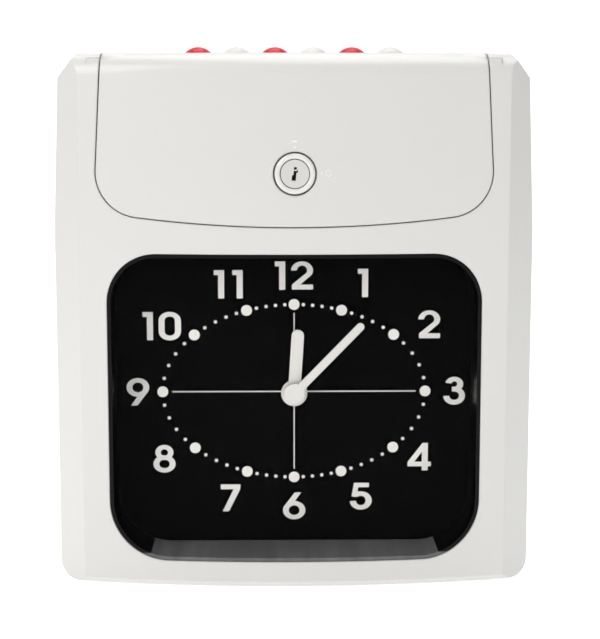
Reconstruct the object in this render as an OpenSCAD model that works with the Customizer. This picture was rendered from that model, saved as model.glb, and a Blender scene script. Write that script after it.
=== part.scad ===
// Punch time clock: a desk or wall recorder with a dial clock in front, six function keys on top,
// a lockable printer door, and a card slot behind the keys.
// +Z is up, the front faces -Y, and the origin lies on the table under the middle of the case.

/* [Case] */
// Width of the case at its widest
case_w = 218; // [200:1:262]
// Height of the case top above the table
case_h = 242; // [238:1:290]
// Depth from the crown of the front to the rear cover
case_d = 130; // [126:1:160]
// Thickness of the moulded walls
wall = 2.5; // [2:0.1:3]
// Radius of the front face, seen from above
front_r = 475; // [400:5:600]
// Width of each 45 degree bevel between the front and a side
bevel_w = 12.5; // [8:0.5:16]
// Radius of the edge between the front and the top
top_edge_r = 9.5; // [6:0.5:12]
// Chamfer under the front face
base_chamfer = 2.7; // [1:0.1:4]
// Width of the facet across each upper corner
corner_w = 9.5; // [6:0.5:12]
// Height of the facet across each upper corner
corner_h = 10.8; // [6:0.2:12]
// Amount by which each side leans in at the top
side_lean = 3; // [0:0.5:5]
// Radius of the two lower corners
base_corner_r = 7; // [4:0.5:10]
// Distance from the crown back to the joint between front cover and housing
split_back = 45; // [42:1:48]
// Thickness of the rear cover
rear_t = 3; // [2.5:0.5:4]
// Height of the case bottom above the table
foot_gap = 1; // [0.5:0.5:3]
// Radius of the rubber feet
foot_r = 8; // [5:0.5:10]

/* [Door] */
// Width of the printer door at its widest
door_w = 177; // [160:1:182]
// Width of the door at the top of the case
door_top_w = 170; // [150:1:175]
// Distance from the case top down to the middle of the door's lower edge
door_drop = 76.4; // [72:0.1:80]
// Radius of the door's long lower edge
door_sag_r = 602; // [450:10:900]
// Radius of the door's lower corners
door_corner_r = 20; // [10:1:26]
// Thickness of the door
door_t = 2.5; // [2:0.1:3]
// Seam between the door and the case
seam = 0.5; // [0.3:0.1:1]
// Radius of the hinge knuckle
knuckle_r = 4; // [3:0.5:5]
// Distance from the crown back to the hinge axis
hinge_back = 14; // [12:0.5:16]
// Radius of the two hinge pins
pin_r = 1.5; // [1:0.1:2]

/* [Lock] */
// Distance from the case top down to the lock
lock_drop = 52.9; // [48:0.1:56]
// Radius of the sunk seat in the door
lock_seat_r = 9.7; // [9.2:0.1:11]
// Radius of the lock's bezel
bezel_r = 9; // [8.5:0.1:9.6]
// Radius of the turning plug
plug_r = 6.3; // [5:0.1:7]
// Radius of the lock barrel
barrel_r = 8; // [7:0.1:8.4]
// Depth of the lock barrel behind its bezel
barrel_len = 13; // [10:0.5:16]

/* [Keys] */
// Radius of a key cap
key_r = 6.05; // [4:0.05:7]
// Distance from one key to the next
key_pitch = 17.3; // [16:0.1:20]
// Height of a key's dome above the case top
key_rise = 3; // [2:0.1:4]
// Travel of a key
key_travel = 1.5; // [1:0.1:2]
// Distance from the crown back to the row of keys
key_back = 25; // [24:0.5:27]

/* [Clock] */
// Width of the clock window
window_w = 169; // [140:1:176]
// Height of the top of the window above the table
window_top = 153.4; // [140:0.1:156]
// Height of the bottom of the window above the table
window_low = 12.8; // [10:0.1:20]
// Radius of the window's upper corners
window_r = 22.5; // [12:0.5:30]
// Radius of the window's lower corners
window_low_r = 27; // [12:0.5:30]
// Depth of the dial behind the crown
dial_back = 31; // [29:0.5:32]
// Height of the dial's centre above the table
dial_z = 86.2; // [78:0.1:90]
// Length of the hour hand from its centre
hour_len = 29.8; // [20:0.1:40]
// Width of the hour hand
hour_w = 5.8; // [4:0.1:8]
// Length of the minute hand from its centre
minute_len = 45.6; // [30:0.1:55]
// Width of the minute hand
minute_w = 3.7; // [3:0.1:6]
// Angle of the hour hand past twelve
hour_angle = 3.5; // [0:0.5:359]
// Angle of the minute hand past twelve
minute_angle = 44.2; // [0:0.2:359]

/* [Card path] */
// Width of the card slot
slot_w = 90; // [86:1:94]
// Gap between the two card guides
slot_gap = 5; // [4.6:0.2:6]
// Distance from the crown back to the middle of the card slot
card_back = 68.5; // [67:0.5:70]
// Depth from the case top to the card stop
card_depth = 135; // [125:1:145]
// Distance from the case top down to the line that is printed
print_drop = 46; // [44:1:50]
// Distance from the case top down to the feed rollers
feed_drop = 118; // [112:1:124]
// Radius of the feed rollers
feed_r = 7; // [6:0.5:8]
// Radius of the pinch rollers
pinch_r = 5; // [4:0.5:5.5]

/* [Mechanism] */
// Distance between the outer faces of the two side plates
frame_w = 108; // [106:1:116]
// Thickness of the sheet-metal plates
plate_t = 2; // [1.5:0.1:2.5]
// Radius of the carriage rods
rod_r = 3; // [2.5:0.1:3.5]
// Distance between the two carriage rods
rod_gap = 28; // [27:0.5:32]
// Pitch radius of the belt pulleys
pulley_r = 6; // [5:0.5:7]
// Thickness of the carriage belt
belt_t = 1.2; // [0.8:0.1:1.6]
// Module of the card feed gears
feed_module = 1; // [0.8:0.1:1.2]
// Teeth of the gear on the feed shaft
feed_teeth = 30; // [26:1:34]
// Teeth of the pinion on the feed motor
pinion_teeth = 12; // [10:1:14]
// Module of the clock's motion-work wheels
clock_module = 0.6; // [0.5:0.05:0.7]

/* [Hidden] */
$fn = 64;

// Clearances between pieces
fit = 0.05;        // running fit, on the radius
slide_gap = 0.3;   // between pieces that pass each other
seat_gap = 0.2;    // between a piece and the hole it is set in

// Planes of the case
top = case_h;
lock_proud = 0.9;         // the bezel stands this far in front of the crown
yf = (lock_proud - case_d) / 2;
yr = (lock_proud + case_d) / 2;
split_y = yf + split_back;
half_w = case_w / 2;
miter = tan(22.5);
bevel_x = half_w - bevel_w;
// From the crown to the back end of the side bevel
bevel_back = front_r - sqrt(front_r * front_r - bevel_x * bevel_x) + bevel_w;
rear_corner_r = 6;
drum_fn = 360;

// Feet and screws
foot_x = half_w - 22;
foot_front_y = yf + 30;
foot_rear_y = yr - 20;
foot_sink = 1.2;
screw_x = half_w - 7.5;
screw_zs = [16, top - 20];
screw_r = 1.6;
screw_head_r = 3;
screw_len = 10;
cover_in = yr - rear_t;   // inner face of the rear cover

// Door and hinge
hinge_y = yf + hinge_back;
hinge_z = top - knuckle_r;
door_low = top - door_drop;
sag_z = door_low + door_sag_r;
door_corner_x = door_w / 2 - door_corner_r;
door_corner_z = sag_z - sqrt(pow(door_sag_r - door_corner_r, 2) - pow(door_corner_x, 2));
rebate = 3;               // width of the ledge that the door closes on
boss_w = 6;               // length of a hinge boss along the pin
pin_len = 12;
boss_x0 = door_top_w / 2 + seam + 0.6;
pin_x1 = boss_x0 + boss_w - 1;

// Lock
lock_z = top - lock_drop;
lock_seat_y = yf + 4;
barrel_end = lock_seat_y + barrel_len;
cam_y = barrel_end + 1.2;
cam_t = 2;
cam_reach = 19.5;         // ends just above the ledge under the door

// Keys
key_count = 6;
key_y = yf + key_back;
key_hole_r = key_r + slide_gap;
key_flange_r = key_r + 0.8;
board_z = top - 18;
board_t = 1.6;
switch_h = 5;
switch_w = 6.2;
plunger_r = 1.5;
key_post_x = (key_count + 1) / 2 * key_pitch;

// Clock
dial_y = yf + dial_back;
dial_t = 1.5;
tray_t = 1.6;
tray_w = window_w - 2 * seat_gap;
tray_z = (window_top + window_low) / 2;
lens_t = 2;
lens_set = 1.6;           // lens face behind the front face
lens_tab_h = 11;
lens_tabs = [tray_z + 43, tray_z - 34];
movement_w = 56;
movement_y = dial_y + dial_t;
movement_d = 15;
bush_r = 4.5;
tube_r = 2.9;             // hour tube
arbor_r = 1.8;            // minute arbor
cannon_teeth = 10;        // on the minute arbor
wheel_teeth = 30;         // on the minute wheel
small_teeth = 8;          // on the minute wheel's pinion
hour_teeth = 32;          // on the hour tube
motion_d = (cannon_teeth + wheel_teeth) / 2 * clock_module;
wheel_pin_r = 1.2;
motion_angle = 135;       // direction of the minute wheel from the centre

// Rear cover fittings
keyhole_x = 60;
keyhole_z = top - 45;
keyhole_head_r = 4.5;
keyhole_slot_r = 2.3;
keyhole_rise = 9;
vent_z = 90;
speaker_x = -45;
speaker_z = 36;
speaker_r = 17;
inlet_x = 45;
inlet_z = 32;
inlet_w = 24;
inlet_h = 16;
pcb_w = 160;
pcb_z0 = 66;
pcb_z1 = top - 62;
pcb_y = yr - rear_t - 12;

// Card path and mechanism
card_y = yf + card_back;
guide_front_y = card_y - slot_gap / 2;
guide_rear_y = card_y + slot_gap / 2;
guide_t = 1.5;
guide_top = top - 14;
guide_low = top - card_depth;
print_z = top - print_drop;
feed_z = top - feed_drop;
feed_y = card_y + feed_r;
pinch_y = card_y - slide_gap - pinch_r;
shaft_r = 2;
plate_x = frame_w / 2;
plate_in = plate_x - plate_t;
base_z = 8;
base_y0 = yf + 40;
base_y1 = yr - 14;
base_half = half_w - wall - 6;
base_boss_x = base_half - 10;
plate_top = top - 22;
plate_front = yf + 39;
plate_rear = yf + 111;
rod_y = yf + 51;
belt_z = print_z - rod_gap / 2 - rod_r - 10;
belt_y = rod_y;
belt_w = 5;
pulley_x = plate_in - 9.5;
bracket_y = belt_y - belt_w / 2 - 2.5;
bracket_t = 1.5;
feed_pitch_r = feed_module * feed_teeth / 2;
pinion_pitch_r = feed_module * pinion_teeth / 2;
gear_play = 0.15;
feed_motor_y = feed_y + feed_pitch_r + pinion_pitch_r + gear_play;
feed_motor_r = 12.5;
belt_motor_r = 9;
gear_x = plate_x + 2;
gear_w = 5;
cart_w = 2 * plate_in - 1;
cart_y = yf + 26;
cart_d = 12;
cart_h = 12;
spool_r = 4.6;
spool_x = 30;
roller_x = 25;
roller_w = 12;
guide_half = slot_w / 2 + 2;
head_half = 9;
head_half_h = 6;
ribbon_y = guide_front_y - guide_t - 1.9;
pinch_shaft_r = 1;

// A block between two opposite corners
module span(a, b) { translate(a) cube(b - a); }

// Round bars along each axis
module bar_x(r, x0, x1) { translate([x0, 0, 0]) rotate([0, 90, 0]) cylinder(r = r, h = x1 - x0); }
module bar_y(r, y0, y1) { translate([0, y0, 0]) rotate([-90, 0, 0]) cylinder(r = r, h = y1 - y0); }
module bar_z(r, z0, z1) { translate([0, 0, z0]) cylinder(r = r, h = z1 - z0); }

// A flat outline drawn in X and Z, made thick along Y
module along_y(y0, y1) { translate([0, y1, 0]) rotate([90, 0, 0]) linear_extrude(y1 - y0) children(); }

// A flat outline drawn in Y and Z, made thick along X
module along_x(x0, x1) {
  translate([x0, 0, 0]) rotate([90, 0, 90]) linear_extrude(x1 - x0) children();
}

// What has to be cut off a corner at the origin to round it; the outline lies towards -X and +Z
module corner_cut(r) {
  difference() {
    translate([-r, -1]) square([r + 1, r + 1]);
    translate([-r, r]) circle(r);
  }
}

// The window's shape about the origin: its upper and its lower corners have their own radius
module round_rect(w, h, r_up, r_low) {
  difference() {
    square([w, h], center = true);
    for (s = [0, 1]) mirror([s, 0]) {
      translate([w / 2, -h / 2]) corner_cut(r_low);
      mirror([0, 1]) translate([w / 2, -h / 2]) corner_cut(r_up);
    }
  }
}

// A spur gear outline with straight-sided teeth and some backlash
module gear_outline(teeth, m) {
  pitch_r = teeth * m / 2;
  root_r = pitch_r - 1.15 * m;
  tip_r = pitch_r + 0.9 * m;
  half_t = 0.36 * PI * m / 2;
  flank = tan(20);
  root_half = half_t + (pitch_r - root_r) * flank;
  tip_half = half_t - (tip_r - pitch_r) * flank;
  circle(root_r + 0.02 * m);
  for (i = [0 : teeth - 1]) rotate(i * 360 / teeth)
    polygon([[root_r * 0.9, -root_half], [tip_r, -tip_half], [tip_r, tip_half], [root_r * 0.9, root_half]]);
}

// ---- Case -------------------------------------------------------------------------------------

// The front as a drum standing on end: its rim is the front face, and its upper rim edge is round
module front_drum(t) {
  r = front_r - t;
  edge = top_edge_r - t;
  low = foot_gap + t;
  high = top - t;
  chamfer = base_chamfer - t * miter;
  translate([0, yf + front_r, 0]) rotate_extrude($fn = drum_fn) union() {
    polygon([
      [0, low], [r - chamfer, low], [r, low + chamfer], [r, high - edge], [r - edge, high], [0, high]
    ]);
    translate([r - edge, high - edge]) circle(edge);
  }
}

// The case seen from above: 45 degree bevels in front, round corners behind
module case_plan(t, rear) {
  x = half_w - t;
  back = yf + bevel_back + t * miter;
  lead = 30;
  difference() {
    polygon([
      [-x, rear], [-x, back], [-x + lead, back - lead], [x - lead, back - lead], [x, back], [x, rear]
    ]);
    for (s = [0, 1]) mirror([s, 0]) translate([x, rear]) mirror([0, 1]) corner_cut(rear_corner_r - t);
  }
}

// The case seen from the front: leaning shoulders, faceted upper corners, round lower corners
module case_front_view(t) {
  x = half_w - t;
  low = foot_gap + t;
  shoulder_x = x - side_lean;
  shoulder_z = top - corner_h - t * miter;
  brow_x = shoulder_x - corner_w + t * (1 - miter);
  lean_z = top - 79;
  difference() {
    polygon([
      [-x, low], [-x, lean_z], [-shoulder_x, shoulder_z], [-brow_x, top - t],
      [brow_x, top - t], [shoulder_x, shoulder_z], [x, lean_z], [x, low]
    ]);
    for (s = [0, 1]) mirror([s, 0]) translate([x, low]) corner_cut(base_corner_r - t);
  }
}

// The case as a solid block, with every face moved in by t
module case_block(t, rear) {
  intersection() {
    front_drum(t);
    linear_extrude(top + 10) case_plan(t, rear);
    along_y(yf - 10, rear + 10) case_front_view(t);
  }
}

// The moulded wall of the case
module case_shell(y0, y1) {
  intersection() {
    difference() {
      case_block(0, yr);
      case_block(wall, yr + 20);
    }
    span([-half_w - 5, y0, -5], [half_w + 5, y1, top + 20]);
  }
}

// The clock window, grown by g all round
module window_outline(g) {
  translate([0, tray_z])
    round_rect(window_w + 2 * g, window_top - window_low + 2 * g, window_r + g, window_low_r + g);
}

// Points along an arc about c, from angle a0 to angle a1 in n steps
function arc_points(c, r, a0, a1, n) =
  [for (i = [0 : n]) let (a = a0 + (a1 - a0) * i / n) c + r * [cos(a), sin(a)]];

// The door seen from the front, grown by g all round
module door_outline(g) {
  w_top = door_top_w / 2 + g;
  meet = atan2(door_corner_z - sag_z, door_corner_x);
  corner_steps = 18;
  sag_steps = 15;
  right = arc_points([door_corner_x, door_corner_z], door_corner_r + g, 0, meet, corner_steps);
  low = arc_points([0, sag_z], door_sag_r + g, meet, -180 - meet, sag_steps);
  polygon(concat(
    [[w_top, top + 8]], right,
    [for (i = [1 : sag_steps - 1]) low[i]],
    [for (i = [corner_steps : -1 : 0]) [-right[i].x, right[i].y]],
    [[-w_top, top + 8]]
  ));
}

// A strip of the case's skin between depths t0 and t1, in front of the line y1
module skin(t0, t1, y1) {
  intersection() {
    difference() {
      case_block(t0, yr);
      case_block(t1, yr + 20);
    }
    span([-half_w, yf - 5, -5], [half_w, y1, top + 20]);
  }
}

module front_cover() {
  ledge_t = door_t + slide_gap;
  ledge_top = hinge_z - 18;
  color("gainsboro") difference() {
    union() {
      // The wall, thickened behind the door's edge for the ledge that the door closes on
      intersection() {
        difference() {
          case_block(0, yr);
          difference() {
            case_block(wall, yr + 20);
            intersection() {
              along_y(yf - 5, hinge_y) door_outline(rebate);
              span([-half_w, yf - 5, 0], [half_w, yr, ledge_top]);
            }
          }
          case_block(ledge_t + 1.5, yr + 20);
        }
        span([-half_w - 5, yf - 1, -5], [half_w + 5, split_y, top + 20]);
      }
      // Hinge bosses on each side of the door
      for (s = [0, 1]) mirror([s, 0, 0])
        span([boss_x0, hinge_y - 4, hinge_z - 5], [boss_x0 + boss_w, hinge_y + 4, top - wall + 0.5]);
      // Posts that carry the keypad board
      for (s = [-1, 1]) translate([s * key_post_x, key_y, 0]) bar_z(3, board_z + board_t, top - wall + 0.5);
      housing_tongue();
    }
    along_y(yf - 5, yf + 20) window_outline(0);
    // Seat of the door, open right through above the ledge and inside it
    difference() {
      along_y(yf - 5, hinge_y + knuckle_r + seam) door_outline(seam);
      intersection() {
        case_block(ledge_t, yr + 20);
        span([-half_w, yf - 5, 0], [half_w, yr, ledge_top]);
      }
    }
    intersection() {
      along_y(yf - 5, hinge_y) door_outline(-rebate);
      span([-half_w, yf - 5, 0], [half_w, yr, ledge_top + 1]);
    }
    translate([0, hinge_y, hinge_z]) bar_x(pin_r, -pin_x1, pin_x1);
    for (i = [0 : key_count - 1]) translate([(i - (key_count - 1) / 2) * key_pitch, key_y, 0])
      bar_z(key_hole_r, top - 8, top + 1);
    for (s = [-1, 1]) translate([s * foot_x, foot_front_y, 0])
      bar_z(foot_r + seat_gap, -1, foot_gap + foot_sink);
  }
}

// Tongue that enters the rear housing
module housing_tongue() {
  reach = 3;
  difference() {
    intersection() {
      difference() {
        case_block(wall - 0.5, yr);
        case_block(wall + 1.3, yr + 20);
      }
      span([-half_w, split_y - reach, -5], [half_w, split_y + reach, top + 20]);
    }
    difference() {
      span([-half_w - 9, split_y - 0.2, -5], [half_w + 9, split_y + reach + 5, top + 20]);
      case_block(wall + 0.1, yr);
    }
  }
}

module rear_housing() {
  color("gainsboro") difference() {
    union() {
      case_shell(split_y, cover_in);
      // Bosses for the screws of the rear cover
      for (s = [0, 1], z = screw_zs) mirror([s, 0, 0]) intersection() {
        union() {
          translate([screw_x, 0, z]) bar_y(4, cover_in - 14, cover_in);
          span([screw_x, cover_in - 14, z - 2], [half_w, cover_in, z + 2]);
        }
        case_block(wall / 2, yr);
      }
      // Bosses under the chassis
      for (sx = [-1, 1], y = [base_y0 + 12, base_y1 - 12]) translate([sx * base_boss_x, y, 0])
        bar_z(4, foot_gap + wall - 0.5, base_z);
    }
    throat_body(seat_gap, 1);
    for (s = [-1, 1]) translate([s * foot_x, foot_rear_y, 0])
      bar_z(foot_r + seat_gap, -1, foot_gap + foot_sink);
    for (s = [-1, 1], z = screw_zs) translate([s * screw_x, 0, z])
      bar_y(screw_r, cover_in - screw_len - 1, cover_in + 1);
  }
}

module rear_cover() {
  color("gainsboro") difference() {
    union() {
      intersection() {
        case_block(0, yr);
        span([-half_w - 5, cover_in, -5], [half_w + 5, yr + 1, top + 5]);
      }
      // Pegs for the main board
      for (sx = [-1, 1], z = [pcb_z0 + 8, pcb_z1 - 8]) translate([sx * (pcb_w / 2 - 8), 0, z])
        bar_y(3, pcb_y + board_t, cover_in + 1);
    }
    for (s = [-1, 1]) translate([s * keyhole_x, 0, keyhole_z]) {
      bar_y(keyhole_head_r, cover_in - 1, yr + 1);
      bar_y_slot(keyhole_slot_r, keyhole_rise, cover_in - 1, yr + 1);
    }
    for (s = [-1, 1], z = screw_zs) translate([s * screw_x, 0, z]) {
      bar_y(screw_r + 0.1, cover_in - 1, yr + 1);
      bar_y(screw_head_r + 0.1, yr - 1.5, yr + 1);
    }
    span([inlet_x - inlet_w / 2 - seat_gap, cover_in - 1, inlet_z - inlet_h / 2 - seat_gap],
         [inlet_x + inlet_w / 2 + seat_gap, yr + 1, inlet_z + inlet_h / 2 + seat_gap]);
    // Air slots in two rows
    for (row = [0, 1], i = [-4 : 4]) translate([i * 12, 0, vent_z + row * 30])
      span([-1.5, cover_in - 1, 0], [1.5, yr + 1, 22]);
    // Sound holes
    translate([speaker_x, 0, speaker_z]) bar_y(1.5, cover_in - 1, yr + 1);
    for (a = [0 : 60 : 300]) translate([speaker_x + 7 * cos(a), 0, speaker_z + 7 * sin(a)])
      bar_y(1.5, cover_in - 1, yr + 1);
  }
}

// A round-ended slot that rises from the axis, cut along Y
module bar_y_slot(r, rise, y0, y1) {
  span([-r, y0, 0], [r, y1, rise]);
  translate([0, 0, rise]) bar_y(r, y0, y1);
}

module rubber_feet() {
  color("dimgray") for (sx = [-1, 1], y = [foot_front_y, foot_rear_y]) translate([sx * foot_x, y, 0])
    bar_z(foot_r, 0, foot_gap + foot_sink);
}

module case_screws() {
  color("silver") for (s = [-1, 1], z = screw_zs) translate([s * screw_x, 0, z]) difference() {
    union() {
      bar_y(screw_head_r, yr - 1.5, yr - 0.1);
      bar_y(screw_r, cover_in - screw_len, yr - 1.5);
    }
    span([-0.5, yr - 0.8, -2.2], [0.5, yr, 2.2]);
    span([-2.2, yr - 0.8, -0.5], [2.2, yr, 0.5]);
  }
}

// ---- Printer door and lock --------------------------------------------------------------------

module access_door() {
  color("gainsboro") difference() {
    union() {
      intersection() {
        skin(0, door_t, hinge_y);
        along_y(yf - 5, hinge_y) door_outline(0);
      }
      translate([0, hinge_y, hinge_z]) bar_x(knuckle_r, -door_top_w / 2, door_top_w / 2);
      translate([0, 0, lock_z]) bar_y(lock_seat_r + 3, yf + 1.5, lock_seat_y + 2);
    }
    translate([0, 0, lock_z]) bar_y(lock_seat_r, yf - 5, lock_seat_y);
    translate([0, 0, lock_z]) bar_y(barrel_r, yf - 5, lock_seat_y + 3);
    for (s = [0, 1]) mirror([s, 0, 0]) translate([0, hinge_y, hinge_z])
      bar_x(pin_r + fit, pin_x1 - pin_len - 0.5, door_top_w);
  }
}

module hinge_pins() {
  color("silver") for (s = [0, 1]) mirror([s, 0, 0]) translate([0, hinge_y, hinge_z])
    bar_x(pin_r, pin_x1 - pin_len, pin_x1);
}

// A ring or disc turned about the Y axis; its outline's height runs towards the front
module turned_y(y_base) { translate([0, y_base, 0]) rotate([90, 0, 0]) rotate_extrude() children(); }

module lock_bezel() {
  inner = plug_r + 0.25;
  round_r = (bezel_r - inner) / 2;
  height = lock_seat_y - yf + lock_proud;
  color("white") translate([0, 0, lock_z]) turned_y(lock_seat_y) {
    translate([inner, 0]) square([bezel_r - inner, height - round_r]);
    translate([inner + round_r, height - round_r]) circle(round_r);
  }
}

module lock_barrel() {
  color("silver") translate([0, 0, lock_z]) difference() {
    bar_y(barrel_r, lock_seat_y, barrel_end);
    bar_y(plug_r + fit, lock_seat_y - 1, barrel_end + 1);
  }
}

module lock_nut() {
  color("silver") translate([0, 0, lock_z]) difference() {
    translate([0, lock_seat_y + 2, 0]) rotate([-90, 0, 0]) cylinder(r = barrel_r + 3.5, h = 3, $fn = 6);
    bar_y(barrel_r, lock_seat_y, lock_seat_y + 8);
  }
}

module lock_plug() {
  slot_tilt = 5;
  slot_depth = 9;
  color("whitesmoke") translate([0, 0, lock_z]) difference() {
    union() {
      bar_y(plug_r, yf - 0.4, barrel_end);
      bar_y(3, barrel_end - 1, cam_y + cam_t);
    }
    rotate([0, slot_tilt, 0]) {
      span([-0.6, yf - 5, -3], [0.6, yf + slot_depth, 3]);
      span([-1.2, yf - 5, -3], [0.6, yf + slot_depth, -0.6]);
      span([-0.6, yf - 5, 0.6], [1.2, yf + slot_depth, 1.9]);
    }
  }
}

module lock_cam() {
  color("silver") translate([0, 0, lock_z]) along_y(cam_y, cam_y + cam_t) difference() {
    union() {
      circle(7);
      translate([-4.5, -cam_reach]) square([9, cam_reach]);
    }
    circle(3);
  }
}

module cam_screw() {
  color("silver") translate([0, 0, lock_z]) difference() {
    bar_y(4.5, cam_y + cam_t, cam_y + cam_t + 2.2);
    span([-0.6, cam_y + cam_t + 1.2, -5], [0.6, cam_y + cam_t + 5, 5]);
  }
}

// ---- Keys -------------------------------------------------------------------------------------

// One key: domed cap, retaining flange and plunger
module key(n) {
  dome_h = key_rise - 0.3;
  dome_r = (key_r * key_r + dome_h * dome_h) / (2 * dome_h);
  flange_z = top - wall - slide_gap - 1.5;
  x = (n - (key_count + 1) / 2) * key_pitch;
  translate([x, key_y, 0]) {
    bar_z(key_flange_r, flange_z, flange_z + 1.5);
    bar_z(key_r, flange_z, top + 0.3);
    intersection() {
      translate([0, 0, top + key_rise - dome_r]) sphere(dome_r);
      bar_z(key_r, top + 0.3, top + key_rise + 1);
    }
    bar_z(plunger_r, board_z + board_t + 1 + key_travel + 0.5, flange_z);
  }
}

module key_1() { color("firebrick") key(1); }
module key_2() { color("white") key(2); }
module key_3() { color("firebrick") key(3); }
module key_4() { color("white") key(4); }
module key_5() { color("firebrick") key(5); }
module key_6() { color("white") key(6); }

module keypad_board() {
  half = key_post_x + 5;
  color("darkgreen") {
    span([-half, key_y - 6.5, board_z], [half, key_y + 6.5, board_z + board_t]);
    span([key_post_x - 9, key_y + 2, board_z - 5], [key_post_x, key_y + 6, board_z]);
  }
}

module key_switches() {
  color("black") for (n = [1 : key_count]) translate([(n - (key_count + 1) / 2) * key_pitch, key_y, 0])
    difference() {
      translate([0, 0, board_z + board_t])
        span([-switch_w / 2, -switch_w / 2, 0], [switch_w / 2, switch_w / 2, switch_h]);
      bar_z(plunger_r + slide_gap, board_z + board_t + 1, top);
    }
}

// ---- Clock ------------------------------------------------------------------------------------

// The outline of the dial surround, grown by g
module tray_outline(g) { window_outline(g - seat_gap); }

module dial_surround() {
  color("black") difference() {
    union() {
      intersection() {
        along_y(yf - 1, dial_y) tray_outline(0);
        case_block(0.6, yr);
      }
      // Flange that seats behind the window
      intersection() {
        skin(wall + 0.05, wall + 1.5, dial_y);
        along_y(yf - 5, dial_y) tray_outline(3);
      }
    }
    along_y(yf - 5, dial_y + 1) tray_outline(-tray_t);
  }
}

module dial_lens() {
  tab_x = tray_w / 2 - tray_t;
  tab_front = yf + front_r - sqrt(front_r * front_r - tab_x * tab_x) + lens_set + 0.7;
  color("lightcyan", 0.3) intersection() {
    union() {
      skin(lens_set, lens_set + lens_t, dial_y);
      // Side tabs that hold the lens in the surround
      for (s = [0, 1], z = lens_tabs) mirror([s, 0, 0])
        span([tab_x - 1.4, tab_front, z - lens_tab_h / 2], [tray_w / 2, dial_y - 3, z + lens_tab_h / 2]);
    }
    along_y(yf - 5, dial_y) tray_outline(-tray_t - 0.1);
  }
}

module dial_plate() {
  color("black") along_y(dial_y, dial_y + dial_t) difference() {
    tray_outline(0);
    translate([0, dial_z]) circle(bush_r + 0.1);
  }
}

// Where the minute wheel turns
module at_minute_wheel() {
  d = motion_d + gear_play;
  translate([d * cos(motion_angle), 0, dial_z + d * sin(motion_angle)]) children();
}

module clock_movement() {
  half = movement_w / 2;
  color("ivory") difference() {
    union() {
      span([-half, movement_y, dial_z - half], [half, movement_y + movement_d, dial_z + half]);
      translate([0, 0, dial_z]) bar_y(bush_r, dial_y - 3.2, movement_y + 1);
    }
    span([-half + 1.5, movement_y + 1.5, dial_z - half + 1.5],
         [half - 1.5, movement_y + movement_d - 1.5, dial_z + half - 1.5]);
    translate([0, 0, dial_z]) bar_y(tube_r + fit, dial_y - 5, movement_y + 2);
    translate([0, 0, dial_z]) bar_y(arbor_r + fit, movement_y + 5, movement_y + movement_d + 1);
    at_minute_wheel() bar_y(wheel_pin_r + fit, movement_y - 1, movement_y + movement_d + 1);
  }
}

module movement_coil() {
  half = movement_w / 2 - 1.5;
  color("sienna") translate([18, movement_y + 7.5, dial_z]) {
    bar_z(4.5, -14, 14);
    bar_z(2, -half, -14);
    bar_z(2, 14, half);
  }
}

module dial_nut() {
  color("silver") translate([0, 0, dial_z]) difference() {
    translate([0, dial_y - 2.4, 0]) rotate([-90, 0, 0]) cylinder(r = 5.9, h = 2.4, $fn = 6);
    bar_y(bush_r, dial_y - 5, dial_y + 1);
  }
}

// A hand with a round hub and round ends, pointing up
module hand_outline(len, w, hub_r) {
  circle(hub_r);
  translate([-w / 2, 0]) square([w, len - w / 2]);
  translate([0, len - w / 2]) circle(w / 2);
}

module hour_hand() {
  hub_r = 6.1;
  color("white") translate([0, 0, dial_z]) difference() {
    union() {
      rotate([0, hour_angle, 0]) along_y(dial_y - 5, dial_y - 3.9)
        hand_outline(hour_len, hour_w, hub_r);
      bar_y(tube_r, dial_y - 4, movement_y + 4);
      along_y(movement_y + 2.2, movement_y + 3.8) rotate(motion_angle)
        gear_outline(hour_teeth, clock_module);
    }
    bar_y(arbor_r + fit, dial_y - 8, movement_y + 8);
  }
}

module minute_hand() {
  hub_r = 4.9;
  color("white") translate([0, 0, dial_z]) {
    rotate([0, minute_angle, 0]) along_y(dial_y - 7.6, dial_y - 6.5)
      hand_outline(minute_len, minute_w, hub_r);
    bar_y(arbor_r, dial_y - 6.6, movement_y + movement_d - 0.3);
    along_y(movement_y + 5, movement_y + 7.5) rotate(motion_angle)
      gear_outline(cannon_teeth, clock_module);
  }
}

// A wheel with a gap, not a tooth, turned towards the clock's centre
module facing_wheel(teeth) { rotate(motion_angle + 180 + 180 / teeth) gear_outline(teeth, clock_module); }

module minute_wheel() {
  color("gold") at_minute_wheel() {
    bar_y(wheel_pin_r, movement_y + 0.3, movement_y + movement_d - 0.3);
    along_y(movement_y + 5.2, movement_y + 6.9) facing_wheel(wheel_teeth);
    along_y(movement_y + 2, movement_y + 5.2) facing_wheel(small_teeth);
  }
}

// ---- Mechanism --------------------------------------------------------------------------------

module chassis() {
  color("lightslategray") difference() {
    union() {
      span([-base_half, base_y0, base_z], [base_half, base_y1, base_z + plate_t]);
      // Upturned rear flange
      span([-base_half + 8, base_y1 - plate_t, base_z], [base_half - 8, base_y1, base_z + 9]);
    }
    for (sx = [-1, 1], y = [base_y0 + 12, base_y1 - 12]) translate([sx * base_boss_x, y, 0])
      bar_z(1.7, base_z - 1, base_z + 5);
    // Gaps in the flange for the speaker and the inlet
    flange_gap(speaker_x, speaker_r + 1);
    flange_gap(inlet_x, inlet_w / 2 + 1);
  }
}

module flange_gap(x, half) {
  span([x - half, base_y1 - 3, base_z + plate_t], [x + half, base_y1 + 1, base_z + 20]);
}

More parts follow.
